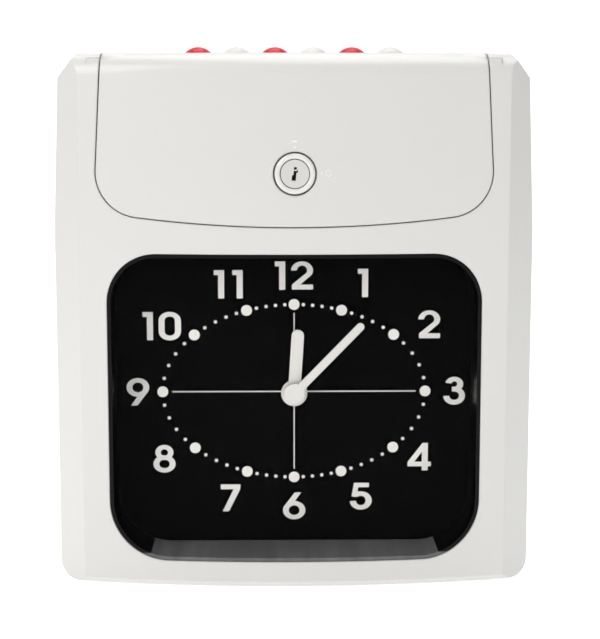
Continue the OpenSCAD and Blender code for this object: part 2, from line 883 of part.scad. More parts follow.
// The right side plate; the left one is its mirror image without the motor's hole
module side_plate(with_motor) {
  foot_z = base_z + plate_t;
  difference() {
    union() {
      span([plate_in, plate_front, foot_z], [plate_x, plate_rear, plate_top]);
      span([plate_x, plate_front + 6, foot_z], [plate_x + 9, plate_rear - 4, foot_z + plate_t]);
    }
    for (s = [-1, 1]) translate([0, rod_y, print_z + s * rod_gap / 2])
      bar_x(rod_r, plate_in - 1, plate_x + 1);
    translate([0, feed_y, feed_z]) bar_x(shaft_r + fit, plate_in - 1, plate_x + 1);
    translate([0, pinch_y, feed_z]) bar_x(pinch_shaft_r + fit, plate_in - 1, plate_x + 1);
    if (with_motor) translate([0, feed_motor_y, feed_z]) bar_x(3.5, plate_in - 1, plate_x + 1);
    // Lightening holes
    for (z = [base_z + 26, base_z + 66]) translate([0, (plate_front + plate_rear) / 2, z])
      bar_x(12, plate_in - 1, plate_x + 1);
  }
}

module side_plate_right() { color("silver") side_plate(true); }
module side_plate_left() { color("silver") mirror([1, 0, 0]) side_plate(false); }

module motor_bracket() {
  color("silver") {
    difference() {
      span([-plate_in, bracket_y, belt_z - 10],
           [plate_in, bracket_y + bracket_t, belt_z + pulley_r + belt_t]);
      translate([pulley_x, 0, belt_z]) bar_y(2.2, bracket_y - 1, bracket_y + 5);
    }
    translate([-pulley_x, 0, belt_z]) bar_y(1.5, bracket_y + bracket_t, belt_y + belt_w / 2 + 0.5);
  }
}

module throat_body(g, over) {
  span([-slot_w / 2 - 3 - g, card_y - slot_gap / 2 - 2 - g, guide_top],
       [slot_w / 2 + 3 + g, card_y + slot_gap / 2 + 2 + g, top + over]);
}

module card_throat() {
  flange = 6;
  lead = 1.6;
  color("dimgray") difference() {
    union() {
      throat_body(0, 0.4);
      span([-slot_w / 2 - flange, card_y - slot_gap / 2 - 4.5, top + 0.02],
           [slot_w / 2 + flange, card_y + slot_gap / 2 + 4.5, top + 1]);
    }
    span([-slot_w / 2, guide_front_y, guide_top - 1], [slot_w / 2, guide_rear_y, top + 2]);
    along_x(-slot_w / 2, slot_w / 2) polygon([
      [guide_front_y, top - 2], [guide_front_y - lead, top + 1.1],
      [guide_rear_y + lead, top + 1.1], [guide_rear_y, top - 2]
    ]);
  }
}

// Openings that let a pair of rollers through a card guide
module roller_windows(y0, y1, r) {
  half = roller_w / 2 + 0.6;
  for (s = [-1, 1]) translate([s * roller_x, 0, feed_z]) span([-half, y0, -r], [half, y1, r]);
}

// One card guide with its print window and its ears to the side plates
module card_guide(y0, window_h, roller_r) {
  difference() {
    union() {
      span([-guide_half, y0, guide_low], [guide_half, y0 + guide_t, guide_top]);
      for (z = [feed_z + 25, guide_low + 4]) span([-plate_in, y0, z], [plate_in, y0 + guide_t, z + 8]);
    }
    span([-38, y0 - 1, print_z - window_h], [38, y0 + guide_t + 1, print_z + window_h]);
    roller_windows(y0 - 1, y0 + guide_t + 1, roller_r + 0.6);
  }
}

module card_guide_front() { color("gray") card_guide(guide_front_y - guide_t, 6.5, pinch_r); }

module card_guide_rear() {
  color("gray") {
    card_guide(guide_rear_y, 7.5, feed_r);
    // Card stop
    span([-guide_half, guide_front_y + 0.4, guide_low - 1.5],
         [guide_half, guide_rear_y + guide_t, guide_low]);
  }
}

module platen() {
  color("black") {
    back = guide_rear_y + guide_t;
    span([-plate_in, back + 1, print_z - 6], [plate_in, back + 6, print_z + 6]);
    span([-37, guide_rear_y + 0.2, print_z - 6], [37, back + 1, print_z + 6]);
  }
}

module carriage_rods() {
  color("silver") for (s = [-1, 1]) translate([0, rod_y, print_z + s * rod_gap / 2])
    bar_x(rod_r, -plate_x - 1.5, plate_x + 1.5);
}

module print_carriage() {
  half_h = rod_gap / 2 + rod_r + 2;
  color("dimgray") difference() {
    union() {
      span([-12, rod_y - 7, print_z - half_h], [12, rod_y + 7, print_z + half_h]);
      // Clip that grips the belt
      span([-5, rod_y - 3.2, belt_z + pulley_r + belt_t + 0.2], [5, rod_y + 3.2, print_z - half_h + 0.5]);
    }
    for (s = [-1, 1]) translate([0, rod_y, print_z + s * rod_gap / 2]) bar_x(rod_r + fit, -13, 13);
    span([-head_half - seat_gap, rod_y - 8, print_z - head_half_h - seat_gap],
         [head_half + seat_gap, rod_y + 8, print_z + head_half_h + seat_gap]);
  }
}

module print_head() {
  nose = ribbon_y - slide_gap;
  color("black") {
    span([-head_half, rod_y - 10, print_z - head_half_h], [head_half, rod_y + 7, print_z + head_half_h]);
    span([-3, rod_y + 7, print_z - 4], [3, nose, print_z + 4]);
    // Cooling fins
    for (i = [-3 : 3]) translate([i * 2.4, rod_y, print_z])
      span([-0.5, -12, -head_half_h], [0.5, -10, head_half_h]);
  }
}

module carriage_belt() {
  outer = pulley_r + belt_t;
  color("black") along_y(belt_y - belt_w / 2, belt_y + belt_w / 2) translate([0, belt_z]) difference() {
    union() {
      square([2 * pulley_x, 2 * outer], center = true);
      for (s = [-1, 1]) translate([s * pulley_x, 0]) circle(outer);
    }
    square([2 * pulley_x, 2 * pulley_r + 0.1], center = true);
    for (s = [-1, 1]) translate([s * pulley_x, 0]) circle(pulley_r + 0.05);
  }
}

module drive_pulley() {
  color("silver") translate([pulley_x, 0, belt_z]) {
    bar_y(pulley_r, belt_y - belt_w / 2, belt_y + belt_w / 2);
    bar_y(1.5, bracket_y - 4, belt_y - belt_w / 2);
  }
}

module idler_pulley() {
  color("white") translate([-pulley_x, 0, belt_z]) difference() {
    bar_y(pulley_r, belt_y - belt_w / 2, belt_y + belt_w / 2);
    bar_y(1.5 + fit, belt_y - belt_w, belt_y + belt_w);
  }
}

module carriage_motor() {
  color("silver") translate([pulley_x, 0, belt_z]) difference() {
    union() {
      bar_y(belt_motor_r, bracket_y - 16, bracket_y);
      bar_y(4, bracket_y - 17, bracket_y - 16);
    }
    bar_y(1.5 + fit, bracket_y - 5, bracket_y + 1);
  }
}

module ribbon_cartridge() {
  z0 = print_z - cart_h / 2;
  z1 = print_z + cart_h / 2;
  half = cart_w / 2;
  color("black") difference() {
    union() {
      span([-half, cart_y, z0], [half, cart_y + cart_d, z1]);
      for (s = [0, 1]) mirror([s, 0, 0])
        span([half - 5.5, cart_y + cart_d - 1, z0], [half, ribbon_y, z1]);
    }
    for (s = [-1, 1]) translate([s * spool_x, cart_y + cart_d / 2, 0])
      bar_z(spool_r + slide_gap, z0 + 1, z1 + 1);
  }
}

// A ribbon spool on its upright axis
module ribbon_spool(s) {
  z0 = print_z - cart_h / 2 + 1.3;
  color("midnightblue") translate([s * spool_x, cart_y + cart_d / 2, 0]) difference() {
    bar_z(spool_r, z0, print_z + cart_h / 2 - 0.5);
    span([-0.6, -3, print_z + cart_h / 2 - 2], [0.6, 3, print_z + cart_h]);
    span([-3, -0.6, print_z + cart_h / 2 - 2], [3, 0.6, print_z + cart_h]);
  }
}
module ribbon_spool_left() { ribbon_spool(-1); }
module ribbon_spool_right() { ribbon_spool(1); }

module ribbon() {
  color("midnightblue")
    span([-cart_w / 2 + 1, ribbon_y, print_z - 5], [cart_w / 2 - 1, ribbon_y + 0.3, print_z + 5]);
}

module feed_roller() {
  color("dimgray") translate([0, feed_y, feed_z]) {
    bar_x(shaft_r, -plate_x - 2, gear_x + gear_w + 2);
    for (s = [-1, 1]) bar_x(feed_r, s * roller_x - roller_w / 2, s * roller_x + roller_w / 2);
  }
}

module feed_gear() {
  color("ivory") translate([0, feed_y, feed_z]) along_x(gear_x, gear_x + gear_w) difference() {
    gear_outline(feed_teeth, feed_module);
    circle(shaft_r);
  }
}

module pinch_roller() {
  color("dimgray") translate([0, pinch_y, feed_z]) {
    bar_x(pinch_shaft_r, -plate_x - 1, plate_x + 1);
    for (s = [-1, 1]) bar_x(pinch_r, s * roller_x - roller_w / 2, s * roller_x + roller_w / 2);
  }
}

module feed_motor() {
  color("silver") translate([0, feed_motor_y, feed_z]) difference() {
    union() {
      bar_x(feed_motor_r, plate_in - 18, plate_in);
      bar_x(3.4, plate_in, plate_x);
    }
    bar_x(1.5 + fit, plate_in - 5, plate_x + 1);
  }
}

module feed_pinion() {
  color("gold") translate([0, feed_motor_y, feed_z]) {
    bar_x(1.5, plate_in - 4, gear_x);
    // A gap faces the feed gear when the number of teeth is even, and is turned there when it is odd
    along_x(gear_x, gear_x + gear_w) rotate(180 / pinion_teeth * (1 + pinion_teeth % 2))
      gear_outline(pinion_teeth, feed_module);
  }
}

// ---- Electrics --------------------------------------------------------------------------------

module main_board() {
  color("darkgreen") {
    span([-pcb_w / 2, pcb_y, pcb_z0], [pcb_w / 2, pcb_y + board_t, pcb_z1]);
    // Chips and connectors on the front
    for (i = [-2 : 2]) span([i * 26 - 8, pcb_y - 2.5, pcb_z0 + 40], [i * 26 + 8, pcb_y, pcb_z0 + 48]);
    for (i = [-3 : 3]) span([i * 20 - 6, pcb_y - 2.5, pcb_z1 - 14], [i * 20 + 6, pcb_y, pcb_z1 - 6]);
  }
}

module transformer() {
  x0 = -base_half + 2;
  z0 = base_z + plate_t;
  y0 = base_y0 + 26;
  color("dimgray") {
    span([x0, y0, z0], [x0 + 32, y0 + 14, z0 + 36]);
    span([x0 + 5, y0 - 6, z0 + 6], [x0 + 27, y0 + 20, z0 + 30]);
  }
}

module backup_battery() {
  x1 = base_half - 2;
  z0 = base_z + plate_t;
  y0 = base_y0 + 24;
  color("royalblue") {
    span([x1 - 30, y0, z0], [x1, y0 + 34, z0 + 3]);
    for (i = [0 : 1]) translate([x1 - 22.5 + i * 15, 0, z0 + 3 + 7]) bar_y(7.1, y0 + 1, y0 + 33);
  }
}

module speaker() {
  color("black") translate([speaker_x, 0, speaker_z]) {
    bar_y(speaker_r, cover_in - 4, cover_in);
    bar_y(9, cover_in - 9, cover_in - 4);
  }
}

module power_inlet() {
  wall_t = 2;
  depth = 14;
  color("black") translate([inlet_x, 0, inlet_z]) {
    difference() {
      span([-inlet_w / 2, yr - depth, -inlet_h / 2], [inlet_w / 2, yr, inlet_h / 2]);
      span([-inlet_w / 2 + wall_t, yr - depth + wall_t, -inlet_h / 2 + wall_t],
           [inlet_w / 2 - wall_t, yr + 1, inlet_h / 2 - wall_t]);
    }
    for (s = [-1, 1]) translate([s * 4.3, 0, 0]) bar_y(1.2, yr - depth + wall_t - 0.5, yr - 2);
  }
}

front_cover();
rear_housing();
rear_cover();
access_door();
hinge_pins();
lock_bezel();
lock_barrel();
lock_nut();
lock_plug();
lock_cam();
cam_screw();
key_1();
key_2();
key_3();
key_4();
key_5();
key_6();
keypad_board();
key_switches();
dial_surround();
dial_lens();
dial_plate();
clock_movement();
movement_coil();
dial_nut();
hour_hand();
minute_hand();
minute_wheel();
chassis();
side_plate_left();
side_plate_right();
motor_bracket();
card_throat();
card_guide_front();
card_guide_rear();
platen();
carriage_rods();
print_carriage();
print_head();
carriage_belt();
drive_pulley();
idler_pulley();
carriage_motor();
ribbon_cartridge();
ribbon_spool_left();
ribbon_spool_right();
ribbon();
feed_roller();
feed_gear();
pinch_roller();
feed_motor();
feed_pinion();
main_board();
transformer();
backup_battery();
speaker();
power_inlet();
rubber_feet();
case_screws();
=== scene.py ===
import math

import bmesh
import bpy
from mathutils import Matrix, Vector
from mathutils.geometry import delaunay_2d_cdt


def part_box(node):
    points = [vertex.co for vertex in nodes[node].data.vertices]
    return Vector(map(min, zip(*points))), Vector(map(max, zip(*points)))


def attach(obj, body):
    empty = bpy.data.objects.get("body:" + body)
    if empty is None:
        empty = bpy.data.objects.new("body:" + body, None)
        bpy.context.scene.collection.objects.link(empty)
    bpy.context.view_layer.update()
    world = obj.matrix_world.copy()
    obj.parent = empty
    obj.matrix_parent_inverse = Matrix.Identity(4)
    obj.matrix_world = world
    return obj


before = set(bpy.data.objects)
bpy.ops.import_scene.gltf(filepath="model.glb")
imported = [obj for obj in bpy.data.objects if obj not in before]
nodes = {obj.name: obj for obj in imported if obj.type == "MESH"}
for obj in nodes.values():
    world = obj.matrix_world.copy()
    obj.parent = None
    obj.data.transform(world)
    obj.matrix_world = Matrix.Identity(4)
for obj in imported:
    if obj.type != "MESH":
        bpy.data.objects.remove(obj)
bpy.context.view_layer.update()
MM = 0.001

# ---- Studio ------------------------------------------------------------------------------------
# The clock stands on a pale sheet that sweeps up behind it, seen from the front and a little from
# above. A large lamp at the upper left lights it, with weaker ones from the right and from above.
case_low, case_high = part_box("front_cover")
view_left, view_back, view_below_top = 10 * MM, 700 * MM, 20.8 * MM
view_tilt, view_turn = math.radians(90 - 7.87), math.radians(-1.0)
camera = bpy.data.objects.new("camera", bpy.data.cameras.new("camera"))
bpy.context.scene.collection.objects.link(camera)
camera.data.lens = 89.35
camera.data.sensor_width = 36
camera.location = (-view_left, case_low.y - view_back, case_high.z - view_below_top)
camera.rotation_euler = (view_tilt, 0, view_turn)
bpy.context.scene.camera = camera
bpy.context.scene.view_settings.view_transform = "Standard"


def new_piece(name, mesh):
    """Wraps a bmesh in an object of that name, with its faces turned outwards."""
    bmesh.ops.recalc_face_normals(mesh, faces=mesh.faces)
    built = bpy.data.meshes.new(name)
    mesh.to_mesh(built)
    mesh.free()
    piece = bpy.data.objects.new(name, built)
    bpy.context.scene.collection.objects.link(piece)
    return piece


class Value:
    """A number or colour on its way through a finish's nodes; sums and the like add Math nodes."""

    def __init__(self, finish, socket):
        self.finish, self.socket = finish, socket

    def worked(self, operation, *inputs):
        return self.finish.node("ShaderNodeMath", {"operation": operation}, inputs)

    def __add__(self, other):
        return self.worked("ADD", self, other)

    def __sub__(self, other):
        return self.worked("SUBTRACT", self, other)

    def __rsub__(self, other):
        return self.worked("SUBTRACT", other, self)

    def __mul__(self, other):
        return self.worked("MULTIPLY", self, other)

    def __lt__(self, other):
        return self.worked("LESS_THAN", self, other)

    def __gt__(self, other):
        return self.worked("GREATER_THAN", self, other)

    __radd__, __rmul__ = __add__, __mul__


class Finish:
    """A surface finish being mixed: its shader, and one way to add any other node to it."""

    def __init__(self, name, **uniform):
        self.material = bpy.data.materials.new(name)
        self.material.use_nodes = True
        self.tree = self.material.node_tree
        self.shader = self.tree.nodes["Principled BSDF"]
        self.place = Value(self, self.tree.nodes.new("ShaderNodeTexCoord").outputs["Object"])
        self.set(**uniform)

    def plug(self, socket, value):
        if isinstance(value, Value):
            self.tree.links.new(value.socket, socket)
        else:
            socket.default_value = value

    def node(self, kind, settings, inputs, output=0):
        """Adds a node: its settings first, then the values or links of its sockets."""
        node = self.tree.nodes.new(kind)
        for key, value in settings.items():
            setattr(node, key, value)
        for key, value in inputs.items() if isinstance(inputs, dict) else enumerate(inputs):
            self.plug(node.inputs[key], value)
        return Value(self, node.outputs[output])

    def set(self, **inputs):
        """Sets or links the shader's sockets, written as base_color for Base Color."""
        for key, value in inputs.items():
            socket = key.replace("_", " ").title().replace("Ior", "IOR")
            self.plug(self.shader.inputs[socket], value)

    def noise(self, scale, detail=2.0, place=None):
        """Soft mottling, finer with a larger scale; place is stretched where it runs one way."""
        inputs = {"Vector": place or self.place, "Scale": scale, "Detail": detail}
        return self.node("ShaderNodeTexNoise", {}, inputs)

    def waves(self, direction, scale):
        """Even bands that follow one another along X, Y or Z, from 0 to 1 and back."""
        inputs = {"Vector": self.place, "Scale": scale}
        return self.node("ShaderNodeTexWave", {"bands_direction": direction}, inputs, 1)

    def blend(self, factor, first, second):
        """A colour between two colours."""
        return self.node("ShaderNodeMix", {"data_type": "RGBA"}, {0: factor, 6: first, 7: second}, 2)

    def shades(self, factor, colour, darker):
        """The colour, and a darker shade of it where factor is one."""
        dark = tuple(part * darker for part in colour)
        return self.blend(factor, (*colour, 1), (*dark, 1))

    def stretched(self, x, y, z):
        """The place, scaled along each axis, for marks that run one way."""
        inputs = {"Vector": self.place, "Scale": (x, y, z)}
        return self.node("ShaderNodeMapping", {}, inputs)

    def axis(self, index):
        """How far along X, Y or Z the place lies, in metres."""
        return self.node("ShaderNodeSeparateXYZ", {}, [self.place], index)

    def relief(self, height, depth, edge=0.0):
        """Turns a height from 0 to 1 into relief that deep, over edges rounded to that radius."""
        inputs = {"Height": height, "Strength": 1.0, "Distance": depth}
        if edge:
            inputs["Normal"] = self.node("ShaderNodeBevel", {"samples": 6}, {"Radius": edge})
        self.set(normal=self.node("ShaderNodeBump", {}, inputs))

    def on(self, *pieces):
        """Gives the finish to pieces, or to CAD nodes given by name."""
        for piece in pieces:
            piece = nodes[piece] if isinstance(piece, str) else piece
            piece.data.materials.clear()
            piece.data.materials.append(self.material)


def sweep():
    """A floor that turns up into a wall behind the clock in one curve."""
    reach, turn_y, turn_r, rise, steps = 3.0, 1.2, 0.8, 3.0, 12
    angles = [math.radians(90 * step / steps) for step in range(steps + 1)]
    profile = [(turn_y + turn_r * math.sin(a), turn_r * (1 - math.cos(a))) for a in angles]
    profile = [(-reach, 0.0), *profile, (turn_y + turn_r, rise)]
    sheet = bmesh.new()
    left, right = ([sheet.verts.new((x, y, z)) for y, z in profile] for x in (-reach, reach))
    for i in range(len(profile) - 1):
        sheet.faces.new((left[i], left[i + 1], right[i + 1], right[i]))
    return sheet


paper = Finish("studio_paper", roughness=0.9, emission_strength=0.5)
paper.set(base_color=paper.shades(paper.noise(3), (0.95, 0.95, 0.95), 0.97))
paper.set(emission_color=(1, 1, 1, 1))
backdrop = new_piece("backdrop", sweep())
backdrop.data.shade_smooth()
paper.on(backdrop)


def softbox(name, place, width, height, power, colour):
    """A rectangular lamp that faces the middle of the clock."""
    lamp = bpy.data.objects.new(name, bpy.data.lights.new(name, "AREA"))
    bpy.context.scene.collection.objects.link(lamp)
    lamp.data.shape = "RECTANGLE"
    lamp.data.size, lamp.data.size_y = width, height
    lamp.data.energy = power
    lamp.data.color = colour
    lamp.location = place
    towards = Vector((0, 0, case_high.z / 2)) - Vector(place)
    lamp.rotation_euler = towards.to_track_quat("-Z", "Y").to_euler()


softbox("key_softbox", (-0.95, -1.0, 0.95), 1.0, 1.0, 13, (1, 0.985, 0.955))
softbox("fill_softbox", (1.2, -0.9, 0.5), 0.7, 1.0, 2.4, (0.96, 0.98, 1))
softbox("top_softbox", (0.1, 0.05, 1.3), 1.3, 0.8, 11, (1, 1, 1))
world = bpy.data.worlds.new("studio_air")
world.use_nodes = True
world.node_tree.nodes["Background"].inputs["Color"].default_value = (1, 1, 1, 1)
world.node_tree.nodes["Background"].inputs["Strength"].default_value = 0.3
bpy.context.scene.world = world

# ---- Case and door -----------------------------------------------------------------------------
# The front cover, the housing behind it, the rear cover and the printer door are moulded from a
# light warm-grey plastic with a very fine satin grain. Their edges come rounded from the mould.
shell = Finish("shell_plastic", coat_weight=0.25, coat_roughness=0.12)
shell.set(base_color=shell.shades(shell.noise(9, 4), (0.610, 0.604, 0.588), 0.965))
shell.set(roughness=0.30 + 0.10 * shell.noise(45, 3))
shell.relief(shell.noise(2400, 1), 0.008 * MM, edge=1.3 * MM)
shell.on("front_cover", "rear_housing", "rear_cover", "access_door")

# ---- Feet and screws ---------------------------------------------------------------------------
# Four round rubber feet are pressed into sinks in the underside. Zinc-plated cross-head screws
# hold the rear cover, and the door turns on two pins of the same steel.
rubber = Finish("black_rubber", specular_ior_level=0.3)
rubber.set(base_color=rubber.shades(rubber.noise(400, 3), (0.035, 0.035, 0.036), 0.6))
rubber.set(roughness=0.62 + 0.2 * rubber.noise(900, 2))
rubber.relief(rubber.noise(1800, 2), 0.03 * MM, edge=0.5 * MM)
rubber.on("rubber_feet")


def plated(name, colour, roughness, edge):
    """A bright metal with faint cloudy staining and fine scratches along X."""
    metal = Finish(name, metallic=1.0)
    metal.set(base_color=metal.shades(metal.noise(120, 4), colour, 0.82))
    scratches = metal.noise(600, 2, metal.stretched(0.06, 1, 1))
    metal.set(roughness=roughness + 0.16 * scratches)
    metal.relief(scratches, 0.006 * MM, edge=edge)
    return metal


zinc = plated("zinc_plate", (0.62, 0.63, 0.65), 0.22, 0.25 * MM)
zinc.on("case_screws", "hinge_pins", "lock_cam", "cam_screw")

# ---- Lock --------------------------------------------------------------------------------------
# A cam lock sits in a sunk seat in the door: a glossy off-white ring round a satin plug with a
# stepped key slot, on a nickel-plated barrel held by a hexagon nut.
ring = Finish("lock_ring_plastic", roughness=0.2, coat_weight=0.2, coat_roughness=0.05)
ring.set(base_color=ring.shades(ring.noise(160), (0.70, 0.69, 0.67), 0.94))
ring.relief(ring.noise(1500), 0.004 * MM, edge=1.2 * MM)
ring.on("lock_bezel")
plug_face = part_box("lock_plug")[0].y
slot_shade_depth = 0.3 * MM
plug = Finish("lock_plug_paint", coat_weight=0.2)
# Deeper into the key slot than that, the plug is painted almost black: painted shade for the dark inside of
# the slot.
in_slot = plug.axis(1) > plug_face + slot_shade_depth
plug.set(base_color=plug.blend(in_slot, (0.56, 0.555, 0.54, 1), (0.02, 0.02, 0.02, 1)))
plug.set(roughness=0.34 + 0.1 * plug.noise(700, 3))
plug.relief(plug.noise(1800), 0.006 * MM, edge=0.25 * MM)
plug.on("lock_plug")
nickel = plated("nickel_plate", (0.70, 0.69, 0.66), 0.14, 0.25 * MM)
nickel.on("lock_barrel", "lock_nut")

# The lock's middle places the wafer and the marks round it.
lock_low, lock_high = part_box("lock_bezel")
lock_z = (lock_low.z + lock_high.z) / 2


def wafer_bar():
    """A strip of sheet with a round nose towards the front, across the key slot near its top."""
    half_w, nose_r, deep = 1.1 * MM, 0.3 * MM, 1.0 * MM
    front, z = plug_face + 0.25 * MM, lock_z + 1.6 * MM
    turn = [math.radians(-90 + 180 * step / 8) for step in range(9)]
    outline = [(front + nose_r * (1 - math.cos(a)), z + nose_r * math.sin(a)) for a in turn]
    outline += [(front + deep, z + nose_r), (front + deep, z - nose_r)]
    mesh = bmesh.new()
    left, right = ([mesh.verts.new((x, y, z)) for y, z in outline] for x in (-half_w, half_w))
    mesh.faces.new(left)
    mesh.faces.new(right)
    for i in range(len(outline)):
        mesh.faces.new((left[i - 1], left[i], right[i], right[i - 1]))
    return mesh


wafer = new_piece("lock_wafer", wafer_bar())
wafer_metal = Finish("wafer_metal", metallic=0.4)
wafer_metal.set(base_color=wafer_metal.shades(wafer_metal.noise(900), (0.80, 0.79, 0.76), 0.8))
wafer_metal.set(roughness=0.35 + 0.1 * wafer_metal.noise(2000))
wafer_metal.on(wafer)
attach(wafer, "lock")

# Four small raised marks are moulded on the door round the lock: a dot and a short bar above it for
# one position of the key, and a dot and a ring beside it for the other. They are polished, and are
# coloured lighter than the door as a painted highlight.
face_r = 475 * MM


def face_y(x):
    """Where the case's curved front face lies at that distance from the middle."""
    return case_low.y + face_r - math.sqrt(face_r * face_r - x * x)


def raised_mark(profile, x, z, stretch=1.0, steps=32):
    """A profile of radius and height, turned about the Y axis and set on the door's face."""
    mesh = bmesh.new()
    turn = [math.tau * step / steps for step in range(steps)]
    circle = [(math.cos(a), math.sin(a) * stretch) for a in turn]
    rings = []
    for radius, height in profile:
        y = face_y(x) - height
        rings.append([mesh.verts.new((x + radius * u, y, z + radius * v)) for u, v in circle])
    for near, far in zip(rings, rings[1:]):
        for i in range(steps):
            mesh.faces.new((near[i - 1], near[i], far[i], far[i - 1]))
    return mesh, rings


def domed_mark(name, radius, height, x, z, stretch=1.0):
    """A low closed dome."""
    profile = [(radius, -0.3 * MM)]
    profile += [(radius * math.cos(a), height * math.sin(a)) for a in (0, 0.4, 0.8, 1.15, 1.4)]
    mesh, rings = raised_mark(profile, x, z, stretch)
    mesh.faces.new(rings[0])
    mesh.faces.new(rings[-1])
    return new_piece(name, mesh)


def ringed_mark(name, radius, thick, x, z):
    """A low round ring: a small circle turned about the axis and closed on itself."""
    steps = 12
    turn = [math.tau * step / steps for step in range(steps)]
    section = [(radius + thick * math.cos(a), thick * math.sin(a)) for a in turn]
    mesh, rings = raised_mark(section, x, z)
    for i in range(len(rings[0])):
        mesh.faces.new((rings[-1][i - 1], rings[-1][i], rings[0][i], rings[0][i - 1]))
    return new_piece(name, mesh)


marks = [
    domed_mark("mark_dot_upper", 0.5 * MM, 0.25 * MM, 0, lock_z + 11.6 * MM),
    domed_mark("mark_bar", 1.3 * MM, 0.25 * MM, 0, lock_z + 14.2 * MM, stretch=0.32),
    domed_mark("mark_dot_side", 0.5 * MM, 0.3 * MM, 11.8 * MM, lock_z + 0.3 * MM),
    ringed_mark("mark_ring", 1.3 * MM, 0.22 * MM, 15 * MM, lock_z + 0.3 * MM),
]
# The marks get a lighter colour than the door plastic they are moulded in: a painted highlight for the light
# on their tops.
mark_gloss_and_highlight = Finish("mark_gloss_and_highlight", roughness=0.2, coat_weight=0.4)
mark_gloss_and_highlight.set(base_color=mark_gloss_and_highlight.shades(mark_gloss_and_highlight.noise(900), (0.80, 0.795, 0.78), 0.95))
for mark in marks:
    mark.data.shade_smooth()
    mark_gloss_and_highlight.on(mark)
    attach(mark, "door")

# ---- Keys --------------------------------------------------------------------------------------
# Six domed caps, each moulded in one piece with its flange and plunger, stand in a row on top.
# The odd ones are glossy red and the even ones glossy white.
key_shades = {"red": ((0.62, 0.008, 0.02), (1, 3, 5)), "white": ((0.68, 0.675, 0.66), (2, 4, 6))}
for shade, (colour, numbers) in key_shades.items():
    cap = Finish(f"key_{shade}_plastic", specular_ior_level=0.18)
    cap.set(base_color=cap.shades(cap.noise(260, 3), colour, 0.86))
    cap.set(roughness=0.14 + 0.08 * cap.noise(500, 2))
    cap.relief(cap.noise(900, 2), 0.01 * MM, edge=0.3 * MM)
    cap.on(*(f"key_{number}" for number in numbers))

# ---- Dial surround and lens --------------------------------------------------------------------
# A deep black tray carries the dial, and its walls show through the clear acrylic lens that is
# snapped into its mouth. The lens is polished and bowed like the case, with two tabs a side. The
# tray's floor is painted a lighter grey than its walls, in streaks, as painted light for the light
# it catches through the window.
tray = Finish("tray_plastic", specular_ior_level=0.1, coat_weight=0.04, coat_roughness=0.05)
tray_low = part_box("dial_surround")[0]
floor_rise = 6 * MM
# Painted light: the floor is coloured a lighter grey, with streaks, where it catches the light; the walls
# stay black.
on_floor = tray.axis(2) < tray_low.z + floor_rise
floor_light_streaks = tray.noise(160, 3, tray.stretched(1, 0.05, 1))
floor_painted_light = tray.shades(floor_light_streaks, (0.20, 0.20, 0.205), 0.3)
tray.set(base_color=tray.blend(on_floor, (0.002, 0.002, 0.0023, 1), floor_painted_light))
tray.set(roughness=0.24 + 0.14 * tray.noise(140, 4))
tray.relief(tray.noise(500, 2), 0.02 * MM, edge=0.4 * MM)
tray.on("dial_surround")
lens = Finish("lens_acrylic", roughness=0.1, alpha=0.03)
lens.set(base_color=lens.shades(lens.noise(26, 5), (0.004, 0.0042, 0.0045), 0.5))
lens.on("dial_lens")

# ---- Dial --------------------------------------------------------------------------------------
# A black sheet printed with light grey numbers, an oval of dots and two hair lines. The print is a
# thin raised layer of ink: each number is drawn with straight bars and bands of an ellipse.
# The dial is given no gloss of its own, which keeps it black behind the lens.
dial = Finish("dial_ink_black", specular_ior_level=0.0)
dial.set(base_color=dial.shades(dial.noise(900, 2), (0.0016, 0.0016, 0.0017), 0.5))
dial.set(roughness=0.5 + 0.1 * dial.noise(400, 2))
dial.relief(dial.noise(1500, 1), 0.004 * MM)
dial.on("dial_plate")
dial_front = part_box("dial_plate")[0].y
hub_low, hub_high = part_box("dial_nut")
dial_z = (hub_low.z + hub_high.z) / 2


def bar(x0, y0, x1, y1):
    """A straight stroke: one rectangle."""
    return [[(x0, y0), (x1, y0), (x1, y1), (x0, y1)]]


def band(x, y, a, b, side, top, start=0, end=360):
    """A curved stroke between two ellipses: side thick at its sides, and top thick at its top."""
    steps = max(4, round(abs(end - start) / 9))
    turn = [math.radians(start + (end - start) * step / steps) for step in range(steps + 1)]
    outer = [(x + a * math.cos(t), y + b * math.sin(t)) for t in turn]
    inner = [(x + (a - side) * math.cos(t), y + (b - top) * math.sin(t)) for t in turn]
    return [[outer[i], outer[i + 1], inner[i + 1], inner[i]] for i in range(steps)]


def dot(x, y, radius, steps=24):
    """A round spot."""
    turn = [math.tau * step / steps for step in range(steps)]
    return [[(x + radius * math.cos(t), y + radius * math.sin(t)) for t in turn]]


